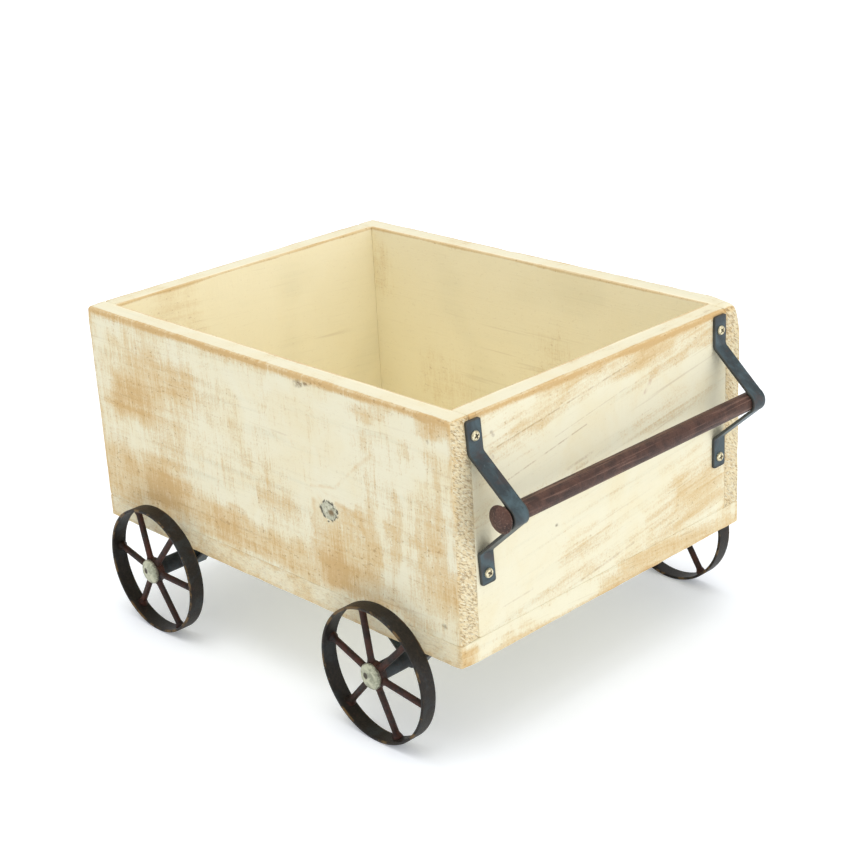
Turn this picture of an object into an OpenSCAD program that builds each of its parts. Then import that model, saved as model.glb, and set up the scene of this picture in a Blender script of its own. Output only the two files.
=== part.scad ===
// Small planter cart: an open wooden box on two steel axles with four spoked
// wheels, and a push bar held at one end in two bent steel straps.
// X runs along the box towards the handle, Y across it, Z up. The origin is on
// the floor, below the middle of the whole cart. Right is -Y and left is +Y.

/* [Box] */
// Outside length of the wooden box
box_l = 392; // [300:1:600]
// Outside width of the wooden box
box_w = 300; // [220:1:450]
// Height of the side and end boards, above the bottom board
side_h = 157.5; // [140:0.5:300]
// Thickness of the side and end boards
board_t = 17; // [15:0.5:22]
// Thickness of the bottom board
bottom_t = 17.5; // [15:0.5:22]

/* [Wheels] */
// Outside diameter of a wheel
wheel_d = 101; // [84:1:130]
// Width of the rim band
rim_w = 12.5; // [12.5:0.5:20]
// Thickness of the rim band
rim_t = 2; // [1.5:0.5:4]
// Number of spokes in a wheel
spoke_count = 6; // [5:1:7]
// Diameter of the round spokes
spoke_d = 5; // [3.5:0.5:5.5]
// How much further inboard a spoke meets the rim than the hub
spoke_dish = 4.5; // [0:0.5:4.5]
// Outside diameter of the hub
hub_d = 19.5; // [17:0.5:26]
// Width of the hub
hub_w = 6; // [6:0.5:7]
// How far the hub's outer face lies inside the rim's outer edge
hub_recess = 1.1; // [0.5:0.1:1.5]
// Gap between the box side and the rim
wheel_gap = 5.6; // [4:0.1:15]
// Distance from each end of the box to the axle
wheel_inset = 71; // [60:1:110]
// Turn of the front right wheel's spokes at rest
turn_front_right = 47; // [0:1:71]
// Turn of the front left wheel's spokes at rest
turn_front_left = 8; // [0:1:71]
// Turn of the rear right wheel's spokes at rest
turn_rear_right = 54; // [0:1:71]
// Turn of the rear left wheel's spokes at rest
turn_rear_left = 31; // [0:1:71]

/* [Axles] */
// Diameter of the axle rods
axle_d = 13; // [12:0.5:15]
// Depth of the axle's centre below the box
axle_drop = 22; // [18:0.5:30]
// Diameter of the turned journal that the hub runs on
journal_d = 10; // [8:0.5:11]
// Diameter of the spigot that holds the cap
spigot_d = 6; // [4:0.5:7]
// Radial running clearance of the hub on its journal
hub_clearance = 0.05; // [0.02:0.01:0.1]
// End play on each side of the hub
end_play = 0.3; // [0.2:0.1:0.8]
// Diameter of the domed cap on the axle's end
cap_d = 19.5; // [17:0.5:26]
// Thickness of the domed cap
cap_t = 3.6; // [1.8:0.1:5]
// Depth of the spigot in the cap
spigot_l = 1.2; // [0.8:0.1:1.3]

/* [Straps] */
// Width of the flat strip that all the straps are bent from
strap_w = 13.5; // [12:0.5:16]
// Thickness of the strip
strap_t = 2; // [1.5:0.5:3]
// Inside radius of the bends
bend_r = 3; // [1.5:0.5:4]
// Angle of an axle strap's arms to the box
axle_arm = 42; // [38:1:50]
// Further turn of an axle strap before it wraps the axle
axle_shoulder = 15; // [10:1:40]
// Length of an axle strap's flat ends
axle_plate = 18; // [16:1:24]
// Distance from the box side to the near edge of an axle strap
axle_strap_inset = 18; // [12:1:60]

/* [Handle] */
// Diameter of the handle bar
bar_d = 13.5; // [12:0.5:15]
// Diameter of the head on the bar's right end
bar_head_d = 19.5; // [17:0.5:24]
// Thickness of the head
bar_head_t = 5; // [3:0.5:7]
// Gap between the head and its strap
head_gap = 0.5; // [0.3:0.1:1.5]
// How far the bar's plain left end runs past its strap
bar_tail = 0.5; // [0:0.5:5]
// Radial running clearance of the bar in its straps
bar_clearance = 0.05; // [0.02:0.01:0.1]
// Distance from the end board to the bar's centre
bar_standoff = 28.5; // [26:0.5:45]
// Depth of the bar's centre below the box's top edge
bar_depth = 61.5; // [60:0.5:80]
// Angle of a handle strap's arms to the board
handle_arm = 47.5; // [44:0.5:52]
// Further turn of the strap before it wraps the bar
handle_shoulder = 12; // [4:1:30]
// Length of a handle strap's flat ends
handle_plate = 21.5; // [20:0.5:30]
// Middle of the right strap from the box's right side
strap_inset_right = 22.5; // [22.5:0.5:60]
// Middle of the left strap from the box's left side
strap_inset_left = 26.5; // [22.5:0.5:60]
// Sideways lean of the right strap
strap_lean = 4; // [0:0.5:4]

/* [Screws and nails] */
// Diameter of a screw's shank
screw_d = 3.5; // [3:0.5:4]
// Diameter of a screw's pan head
screw_head_d = 7; // [6:0.5:8]
// Height of a screw's pan head
screw_head_t = 2.2; // [1.8:0.1:3]
// Depth of a handle screw in the end board
handle_screw_l = 13; // [10:1:14]
// Depth of an axle strap screw in the bottom board
axle_screw_l = 12; // [8:1:13]
// Distance of the upper handle screws from the strap's end
upper_screw_edge = 11; // [8:0.5:12]
// Distance of the lower handle screws from the strap's end
lower_screw_edge = 8; // [7:0.5:12]
// Diameter of the nails that join the boards
nail_d = 2; // [1.5:0.5:2.5]
// Length of the nails that join the boards
nail_l = 40; // [35:1:50]
// Nails in each corner of the box
corner_nail_count = 3; // [2:1:5]
// Nails along each side of the bottom board
bottom_nail_count = 5; // [3:1:8]

/* [Hidden] */
$fn = 48;
cut = 1; // how far a cutting shape runs past the face it opens
half_w = box_w / 2;
axle_r = axle_d / 2;
bar_r = bar_d / 2;
path_r = bend_r + strap_t; // bend radius on the strap's inner face
bend_thinning = 0.02; // metal lost from each face of the strap in a bend
bend_overlap = 0.2; // how far a bend runs on into its neighbours
screw_dome = 0.6; // share of a screw head's height that is domed
bar_head_dome = 0.4; // the same for the head on the bar
cap_dome = 0.65; // and for the caps

// Heights above the floor
axle_z = wheel_d / 2;
box_z = axle_z + axle_drop;
board_z = box_z + bottom_t;
bar_z = board_z + side_h - bar_depth;

// Lengthways places: the cart's two ends are as far from the origin
bar_wrap_r = bar_r + bar_clearance;
handle_reach = bar_standoff + max(bar_head_d / 2, bar_wrap_r + strap_t);
front_x = (box_l - handle_reach) / 2;
rear_x = front_x - box_l;
bar_x = front_x + bar_standoff;
front_axle_x = front_x - wheel_inset;
rear_axle_x = rear_x + wheel_inset;

// Places across the cart, as distances from its middle
rim_in = half_w + wheel_gap;
rim_out = rim_in + rim_w;
hub_out = rim_out - hub_recess;
hub_in = hub_out - hub_w;
shoulder_y = hub_in - end_play;
cap_y = hub_out + end_play;
spoke_hub_y = (hub_in + hub_out) / 2;
strap_right_y = -half_w + strap_inset_right;
strap_left_y = half_w - strap_inset_left;
axle_strap_y = half_w - axle_strap_inset - strap_w / 2;
inner_w = box_w - 2 * board_t;

rim_inner_r = wheel_d / 2 - rim_t;
hub_r = hub_d / 2;

// A bent strap's arm length and half length, for a rod that its nose wraps.
// arm is the arm's angle, nose the strap's angle where it meets the rod.
function arm_l(standoff, arm, nose, rod_r) =
    (standoff - path_r * (1 - cos(nose)) + rod_r * cos(nose)) / sin(arm);
function half_span(standoff, arm, nose, rod_r) =
    (path_r + rod_r) * sin(nose) + arm_l(standoff, arm, nose, rod_r) * cos(arm);

handle_half = handle_plate
    + half_span(bar_standoff, handle_arm, handle_arm + handle_shoulder, bar_wrap_r);
axle_span = half_span(axle_drop, axle_arm, axle_arm + axle_shoulder, axle_r);
upper_screw_z = bar_z + handle_half - upper_screw_edge;
lower_screw_z = bar_z - handle_half + lower_screw_edge;

wood = [0.93, 0.89, 0.75];
steel_blue = [0.24, 0.28, 0.31];
rust_brown = [0.30, 0.17, 0.14];
wheel_iron = [0.19, 0.15, 0.13];
pale_metal = [0.78, 0.76, 0.66];
brass = [0.76, 0.68, 0.45];
nail_steel = [0.5, 0.5, 0.5];

// ---- wooden box ----

module bottom_board() {
    color(wood) difference() {
        translate([rear_x, -half_w, box_z]) cube([box_l, box_w, bottom_t]);
        bottom_nail_shapes();
        axle_screw_shanks();
    }
}

module side_board(side) {
    color(wood) difference() {
        translate([rear_x, side > 0 ? half_w - board_t : -half_w, board_z])
            cube([box_l, board_t, side_h]);
        corner_nail_shapes();
        bottom_nail_shapes();
        handle_screw_shanks();
    }
}

module end_board(x) {
    color(wood) difference() {
        translate([x, -inner_w / 2, board_z]) cube([board_t, inner_w, side_h]);
        corner_nail_shapes();
        bottom_nail_shapes();
        handle_screw_shanks();
    }
}

// Nails driven through each side board into the edges of the end boards
module corner_nail_shapes() {
    for (x = [rear_x + board_t / 2, front_x - board_t / 2])
        for (side = [-1, 1])
            for (i = [0 : corner_nail_count - 1])
                translate([x, side * half_w, board_z + side_h * (i + 0.5) / corner_nail_count])
                    rotate([side * 90, 0, 0]) cylinder(d = nail_d, h = nail_l);
}

// Nails driven up through the bottom board into the side and end boards
module bottom_nail_shapes() {
    for (side = [-1, 1])
        for (i = [0 : bottom_nail_count - 1])
            translate([rear_x + box_l * (i + 0.5) / bottom_nail_count,
                       side * (half_w - board_t / 2), box_z])
                cylinder(d = nail_d, h = nail_l);
    for (x = [rear_x + board_t / 2, front_x - board_t / 2])
        for (share = [-1, 0, 1])
            translate([x, share * inner_w / 3, box_z]) cylinder(d = nail_d, h = nail_l);
}

module corner_nails() {
    color(nail_steel) corner_nail_shapes();
}

module bottom_nails() {
    color(nail_steel) bottom_nail_shapes();
}

// ---- bent straps ----
// A strap's edge is drawn along its inner face, heading +X, with its thickness
// towards +Y. Each step draws one stretch and carries on from its end.

module run(length) {
    square([length, strap_t]);
    translate([length, 0]) children();
}

module bend_out(angle) {
    overlap = bend_overlap / path_r * 180 / PI;
    translate([0, path_r]) rotate(-90 - overlap)
        ring_sector(bend_r + bend_thinning, path_r - bend_thinning, angle + 2 * overlap);
    translate([0, path_r]) rotate(angle) translate([0, -path_r]) children();
}

module wrap(angle, rod_r) {
    translate([0, -rod_r]) rotate(90 - angle) ring_sector(rod_r, rod_r + strap_t, angle);
    translate([0, -rod_r]) rotate(-angle) translate([0, rod_r]) children();
}

// The ring is cut by a fan of straight-sided steps that reaches well outside it
module ring_sector(inner_r, outer_r, angle) {
    steps = 6;
    reach = 2 * outer_r;
    rays = [for (i = [0 : steps]) [cos(i * angle / steps), sin(i * angle / steps)]];
    intersection() {
        difference() {
            circle(r = outer_r);
            circle(r = inner_r);
        }
        polygon(concat([[0, 0]], reach * rays));
    }
}

// The strap's nose wraps a rod, whose axis passes through the origin along Y
module bent_strap(standoff, arm, shoulder, rod_r, plate, width) {
    nose = arm + shoulder;
    arm_length = arm_l(standoff, arm, nose, rod_r);
    start = half_span(standoff, arm, nose, rod_r) + plate;
    rotate([90, 0, 0]) linear_extrude(height = width, center = true)
        translate([-start, -standoff])
            run(plate) bend_out(arm) run(arm_length) bend_out(shoulder)
            wrap(2 * nose, rod_r)
            bend_out(shoulder) run(arm_length) bend_out(arm) run(plate);
}

// A handle strap stands on the end board, and may lean sideways
module handle_strap(y, lean) {
    spare = handle_half * tan(lean);
    color(steel_blue) difference() {
        intersection() {
            translate([bar_x, y, bar_z]) rotate([0, 90, 0])
                bent_strap(bar_standoff, handle_arm, handle_shoulder, bar_wrap_r,
                           handle_plate, strap_w + 3 * spare);
            translate([bar_x, y, bar_z]) rotate([lean, 0, 0])
                cube([3 * bar_standoff, strap_w, 3 * handle_half], center = true);
        }
        handle_screw_shanks();
    }
}

module axle_strap(x, side) {
    color(steel_blue) difference() {
        translate([x, side * axle_strap_y, axle_z]) rotate([0, 180, 0])
            bent_strap(axle_drop, axle_arm, axle_shoulder, axle_r, axle_plate, strap_w);
        axle_screw_shanks();
    }
}

// ---- screws ----

// A button-shaped head: a disc with a domed top, its flat side on the origin
module button(diameter, thickness, dome_share) {
    dome_h = thickness * dome_share;
    dome_r = (diameter * diameter / 4 + dome_h * dome_h) / (2 * dome_h);
    rotate_extrude() intersection() {
        square([diameter / 2, thickness]);
        translate([0, thickness - dome_r]) circle(r = dome_r, $fn = 720);
    }
}

// A pan-head screw on the origin: its shank goes down and its head stands up,
// with a cross recess in the head's top
module pan_screw(shank_l) {
    recess_w = screw_head_d * 0.14;
    recess_l = screw_head_d * 0.56;
    difference() {
        union() {
            translate([0, 0, -shank_l]) cylinder(d = screw_d, h = shank_l + screw_head_t / 2);
            button(screw_head_d, screw_head_t, screw_dome);
        }
        for (a = [0, 90])
            rotate([0, 0, a]) translate([-recess_l / 2, -recess_w / 2, screw_head_t / 2])
                cube([recess_l, recess_w, screw_head_t]);
    }
}

// Each handle screw's place on the strap's outer face, pointing out of the board
module at_handle_screws() {
    for (z = [upper_screw_z, lower_screw_z])
        for (s = [[strap_right_y, strap_lean], [strap_left_y, 0]])
            translate([front_x + strap_t, s[0] - (z - bar_z) * tan(s[1]), z])
                rotate([0, 90, 0]) children();
}

module at_axle_screws() {
    reach = axle_span + axle_plate / 2;
    for (x = [front_axle_x, rear_axle_x])
        for (side = [-1, 1])
            for (end = [-1, 1])
                translate([x + end * reach, side * axle_strap_y, box_z - strap_t])
                    rotate([180, 0, 0]) children();
}

module handle_screw_shanks() {
    at_handle_screws()
        translate([0, 0, -handle_screw_l - strap_t])
            cylinder(d = screw_d, h = handle_screw_l + strap_t);
}

module axle_screw_shanks() {
    at_axle_screws()
        translate([0, 0, -axle_screw_l - strap_t])
            cylinder(d = screw_d, h = axle_screw_l + strap_t);
}

module handle_screws() {
    color(brass) at_handle_screws() pan_screw(handle_screw_l + strap_t);
}

module axle_strap_screws() {
    color(brass) at_axle_screws() pan_screw(axle_screw_l + strap_t);
}

// ---- handle bar ----

module handle_bar() {
    // The leaning strap's edge stands further out beside the head's rim
    right_edge = strap_w / 2 / cos(strap_lean) + bar_head_d / 2 * tan(strap_lean);
    right_end = strap_right_y - right_edge - head_gap;
    left_end = strap_left_y + strap_w / 2 + bar_tail;
    color(rust_brown) {
        translate([bar_x, right_end, bar_z]) rotate([-90, 0, 0])
            cylinder(r = bar_r, h = left_end - right_end);
        translate([bar_x, right_end, bar_z]) rotate([90, 0, 0])
            button(bar_head_d, bar_head_t, bar_head_dome);
    }
}

// ---- axles ----

module axle(x) {
    color(steel_blue) translate([x, 0, axle_z]) rotate([90, 0, 0]) {
        cylinder(r = axle_r, h = 2 * shoulder_y, center = true);
        cylinder(d = journal_d, h = 2 * cap_y, center = true);
        cylinder(d = spigot_d, h = 2 * (cap_y + spigot_l), center = true);
    }
}

// Two weld beads on each axle strap, along both of its edges under the rod
module axle_welds() {
    bead = 2;
    arc = 2 * axle_arm;
    color(steel_blue)
        for (x = [front_axle_x, rear_axle_x])
            for (side = [-1, 1])
                for (edge = [-1, 1])
                    translate([x, side * axle_strap_y + edge * strap_w / 2, axle_z])
                        rotate([edge * -90, 0, 0]) rotate([0, 0, edge * 90 - arc / 2])
                            rotate_extrude(angle = arc) translate([axle_r, 0])
                                polygon([[0, 0], [bead, 0], [0, bead]]);
}

module axle_caps() {
    color(pale_metal)
        for (x = [front_axle_x, rear_axle_x])
            for (side = [-1, 1])
                translate([x, side * cap_y, axle_z]) rotate([-side * 90, 0, 0])
                    difference() {
                        button(cap_d, cap_t, cap_dome);
                        translate([0, 0, -cut]) cylinder(d = spigot_d, h = spigot_l + cut);
                    }
}

// ---- wheels ----
// A wheel is drawn on its own axis with +Z pointing out of the cart, its middle
// at the cart's middle plane, and its first spoke along +X

module at_wheel(x, side, turn) {
    translate([x, 0, axle_z]) rotate([-side * 90, 0, 0]) rotate([0, 0, -side * turn]) children();
}

module rim(x, side, turn) {
    color(wheel_iron) at_wheel(x, side, turn) translate([0, 0, rim_in]) difference() {
        cylinder(d = wheel_d, h = rim_w, $fn = 96);
        translate([0, 0, -cut]) cylinder(r = rim_inner_r, h = rim_w + 2 * cut, $fn = 96);
    }
}

module hub(x, side, turn) {
    color(wheel_iron) at_wheel(x, side, turn) translate([0, 0, hub_in]) difference() {
        cylinder(d = hub_d, h = hub_w);
        translate([0, 0, -cut])
            cylinder(r = journal_d / 2 + hub_clearance, h = hub_w + 2 * cut);
    }
}

module spokes(x, side, turn) {
    run_r = rim_inner_r - hub_r;
    tilt = atan(spoke_dish / run_r);
    color(wheel_iron) at_wheel(x, side, turn) intersection() {
        difference() {
            for (i = [0 : spoke_count - 1])
                rotate([0, 0, 360 * i / spoke_count])
                    translate([hub_r, 0, spoke_hub_y]) rotate([0, 90 + tilt, 0])
                        translate([0, 0, -spoke_d])
                            cylinder(d = spoke_d, h = run_r + 3 * spoke_d);
            translate([0, 0, hub_in - rim_w]) cylinder(d = hub_d, h = 3 * rim_w);
        }
        translate([0, 0, hub_in - rim_w]) cylinder(r = rim_inner_r, h = 3 * rim_w, $fn = 96);
    }
}

// ---- the cart ----

bottom_board();
side_board(-1);  // side_board_right
side_board(1);  // side_board_left
end_board(front_x - board_t);  // end_board_front
end_board(rear_x);  // end_board_rear
corner_nails();
bottom_nails();
handle_strap(strap_right_y, strap_lean);  // handle_strap_right
handle_strap(strap_left_y, 0);  // handle_strap_left
handle_screws();
handle_bar();
axle(front_axle_x);  // axle_front
axle(rear_axle_x);  // axle_rear
axle_strap(front_axle_x, -1);  // axle_strap_front_right
axle_strap(front_axle_x, 1);  // axle_strap_front_left
axle_strap(rear_axle_x, -1);  // axle_strap_rear_right
axle_strap(rear_axle_x, 1);  // axle_strap_rear_left
axle_strap_screws();
axle_welds();
axle_caps();
rim(front_axle_x, -1, turn_front_right);  // front_right_rim
spokes(front_axle_x, -1, turn_front_right);  // front_right_spokes
hub(front_axle_x, -1, turn_front_right);  // front_right_hub
rim(front_axle_x, 1, turn_front_left);  // front_left_rim
spokes(front_axle_x, 1, turn_front_left);  // front_left_spokes
hub(front_axle_x, 1, turn_front_left);  // front_left_hub
rim(rear_axle_x, -1, turn_rear_right);  // rear_right_rim
spokes(rear_axle_x, -1, turn_rear_right);  // rear_right_spokes
hub(rear_axle_x, -1, turn_rear_right);  // rear_right_hub
rim(rear_axle_x, 1, turn_rear_left);  // rear_left_rim
spokes(rear_axle_x, 1, turn_rear_left);  // rear_left_spokes
hub(rear_axle_x, 1, turn_rear_left);  // rear_left_hub
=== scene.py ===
"""Looks of the garden cart: worn whitewashed boards, slate straps, a rusty bar and iron wheels.

Everything is in metres, in the part's own frame: +X towards the handle, +Y to the
left and +Z up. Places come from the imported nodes' boxes.
"""

import math

import bmesh
import bpy
import numpy as np
from mathutils import Matrix, Vector, noise


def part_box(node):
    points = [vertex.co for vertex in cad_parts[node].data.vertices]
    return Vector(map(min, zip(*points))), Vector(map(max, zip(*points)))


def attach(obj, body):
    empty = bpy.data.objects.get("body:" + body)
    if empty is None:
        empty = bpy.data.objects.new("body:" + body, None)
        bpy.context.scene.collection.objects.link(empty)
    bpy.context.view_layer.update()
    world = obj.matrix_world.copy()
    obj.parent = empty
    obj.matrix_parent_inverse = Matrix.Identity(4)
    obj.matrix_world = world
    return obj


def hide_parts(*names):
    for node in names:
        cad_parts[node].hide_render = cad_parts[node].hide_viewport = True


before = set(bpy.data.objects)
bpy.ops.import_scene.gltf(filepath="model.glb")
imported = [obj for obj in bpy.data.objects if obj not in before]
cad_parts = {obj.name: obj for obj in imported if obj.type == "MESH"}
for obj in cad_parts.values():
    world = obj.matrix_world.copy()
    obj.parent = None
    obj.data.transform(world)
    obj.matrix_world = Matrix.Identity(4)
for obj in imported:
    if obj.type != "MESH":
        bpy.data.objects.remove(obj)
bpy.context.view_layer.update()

MM = 0.001

BOARDS = ["bottom_board", "side_board_right", "side_board_left", "end_board_front", "end_board_rear"]
WHEELS = ["front_right", "front_left", "rear_right", "rear_left"]
SPOKE_TURN = {"front_right": 47, "front_left": 8, "rear_right": 54, "rear_left": 31}
SPOKE_COUNT = 6

# Sizes of the CAD source that no node's box shows. First the strip that the straps are bent from
STRAP_W = 13.5 * MM
STRAP_T = 2 * MM
BEND_R = 3 * MM
HANDLE_BEND = {"arm": 47.5, "shoulder": 12, "plate": 21.5 * MM, "rod": 6.80 * MM}
AXLE_BEND = {"arm": 42, "shoulder": 15, "plate": 18 * MM, "rod": 6.5 * MM}
RIGHT_STRAP_LEAN = math.radians(4)
BAR_R = 6.68 * MM
BAR_HEAD_T = 5 * MM
BAR_DOME = 1.9 * MM
RIM_T = 2 * MM
SPOKE_R = 2.5 * MM
SPOKE_DISH = 4.5 * MM
HUB_BORE_R = 5.05 * MM
CAP_T = 3.6 * MM

LO, HI = 0, 1
NO_MASK = (0, 0, 0, 1)
CORNER_STEPS = (0, 30, 60, 90)  # the points that round a profile's corner, in degrees
MERGE_GAP = 0.004 * MM
TIP_R = 0.3 * MM  # the tiny flat that closes the end of a turned piece


def corners(name):
    """A node's lowest and highest corner at rest, as arrays."""
    lo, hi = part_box(name)
    return np.array(lo), np.array(hi)


def centre_of(name):
    """The middle of a node's box at rest."""
    lo, hi = corners(name)
    return (lo + hi) / 2


BOX_LO = np.min([corners(b)[LO] for b in BOARDS], axis=0)
BOX_HI = np.max([corners(b)[HI] for b in BOARDS], axis=0)
BOARD_T = float(np.ptp([c[1] for c in corners("side_board_right")]))
FLOOR_T = float(np.ptp([c[2] for c in corners("bottom_board")]))


# ---------------------------------------------------------------- meshes

def add_object(name, data):
    obj = bpy.data.objects.new(name, data)
    bpy.context.scene.collection.objects.link(obj)
    return obj


def add_mesh(name, verts, faces, smooth=True, masks=None, closed=True, sharp=None):
    """A mesh object. masks is four numbers a vertex, for the material, and sharp is in degrees."""
    mesh = bpy.data.meshes.new(name)
    mesh.from_pydata([tuple(v) for v in verts], [], [tuple(f) for f in faces])
    if masks is not None:
        layer = mesh.attributes.new("masks", "FLOAT_COLOR", "POINT")
        layer.data.foreach_set("color", np.asarray(masks, dtype=np.float32).ravel())
    if closed:
        shell = bmesh.new()
        shell.from_mesh(mesh)
        bmesh.ops.remove_doubles(shell, verts=shell.verts, dist=MERGE_GAP)
        bmesh.ops.recalc_face_normals(shell, faces=shell.faces)
        shell.to_mesh(mesh)
        shell.free()
    mesh.polygons.foreach_set("use_smooth", [smooth] * len(mesh.polygons))
    if sharp is not None:
        mesh.set_sharp_from_angle(angle=math.radians(sharp))
    return add_object(name, mesh)


def dress(obj, body, slot, material, *nodes):
    """Rides a piece on its body, gives it its material and hides the CAD nodes that it stands for."""
    obj.data.materials.clear()
    obj.data.materials.append(material)
    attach(obj, body)
    if nodes:
        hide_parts(*nodes)
    return obj


def smoothstep(low, high, value):
    t = np.clip((value - low) / (high - low), 0, 1)
    return t * t * (3 - 2 * t)


def field(points, scale, seed):
    """Smooth noise of about -1 to 1 at each point, with features of about 1/scale."""
    shift = Vector((seed * 7.31, seed * 3.17, seed * 5.77))
    scale = Vector(scale) if hasattr(scale, "__len__") else Vector((scale,) * 3)
    return np.array([noise.noise(Vector(p) * scale + shift) for p in points])


def ring_faces(count, size, base=0):
    """Quads that join count rings of size points each, the first of them at vertex base."""
    faces = []
    for low in range(base, base + (count - 1) * size, size):
        for j in range(size):
            k = (j + 1) % size
            faces.append((low + j, low + k, low + size + k, low + size + j))
    return faces


def sweep_rings(rings, closed=False):
    """A tube through rings of points. A closed one joins its last ring to its first."""
    verts, size = np.concatenate(rings), len(rings[0])
    faces = ring_faces(len(rings), size)
    last = len(verts) - size
    if closed:
        faces += [(last + j, last + (j + 1) % size, (j + 1) % size, j) for j in range(size)]
    else:
        faces += [tuple(range(size))[::-1], tuple(range(last, len(verts)))]
    return verts, faces


def arc(across, up, radius, start):
    """A quarter circle from start degrees, to round a profile's corner."""
    turns = [math.radians(start + step) for step in CORNER_STEPS]
    return [(across + radius * math.cos(a), up + radius * math.sin(a)) for a in turns]


def circle(segments, direction=1):
    """The angles of a ring's points."""
    return [2 * math.pi * j / segments * direction for j in range(segments)]


def lathe(profile, segments, origin, outward, wobble=0.0, seed=0, closed=False):
    """Turns a profile of (distance along the axis, radius) about an axis along Y.

    outward is the direction of the axis, +1 or -1. A closed profile makes a ring.
    """
    turns, rings = circle(segments, outward), []
    for along, radius in profile:
        ring = [(radius * math.cos(a), along * outward, radius * math.sin(a)) for a in turns]
        rings.append(np.array(ring))
    if wobble:
        for ring, (_, radius) in zip(rings, profile):
            ring[:, [0, 2]] *= 1 + wobble * field(ring, 130, seed)[:, None] / max(radius, 1e-4)
    verts, faces = sweep_rings(rings, closed)
    return verts + np.array(origin), faces


EDGE_LINES = (0, 0.35, 0.7, 1.1, 1.6, 2.3, 3.2, 4.4, 6.0)  # mm from a board's edge
BOARD_STEP = 4 * MM


def grid_axis(lo, hi, step):
    """Places along one side of a board: close together near the edges."""
    near = np.array(EDGE_LINES) * MM
    inner_lo, inner_hi = lo + near[-1], hi - near[-1]
    count = max(1, round((inner_hi - inner_lo) / step))
    middle = np.linspace(inner_lo, inner_hi, count + 1)[1:-1]
    return np.concatenate([lo + near, middle, hi - near[::-1]])


def box_shell(axes):
    """The outer skin of a grid of points, as vertices and quads."""
    counts = [len(a) for a in axes]
    index, verts, quads = {}, [], []

    def vert(key):
        if key not in index:
            index[key] = len(verts)
            verts.append([axes[n][key[n]] for n in range(3)])
        return index[key]

    for axis in range(3):
        u, v = (axis + 1) % 3, (axis + 2) % 3
        for side in (0, counts[axis] - 1):
            for i in range(counts[u] - 1):
                for j in range(counts[v] - 1):
                    quad = []
                    for a, b in ((0, 0), (1, 0), (1, 1), (0, 1)):
                        key = [0, 0, 0]
                        key[axis], key[u], key[v] = side, i + a, j + b
                        quad.append(vert(tuple(key)))
                    quads.append(quad if side else quad[::-1])
    return np.array(verts), quads


# ---------------------------------------------------------------- node helpers

def srgb(code):
    """A hex colour as linear numbers with alpha."""
    parts = [int(code[i : i + 2], 16) / 255 for i in (0, 2, 4)]
    linear = [c / 12.92 if c <= 0.04045 else ((c + 0.055) / 1.055) ** 2.4 for c in parts]
    return (*linear, 1)


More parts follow.
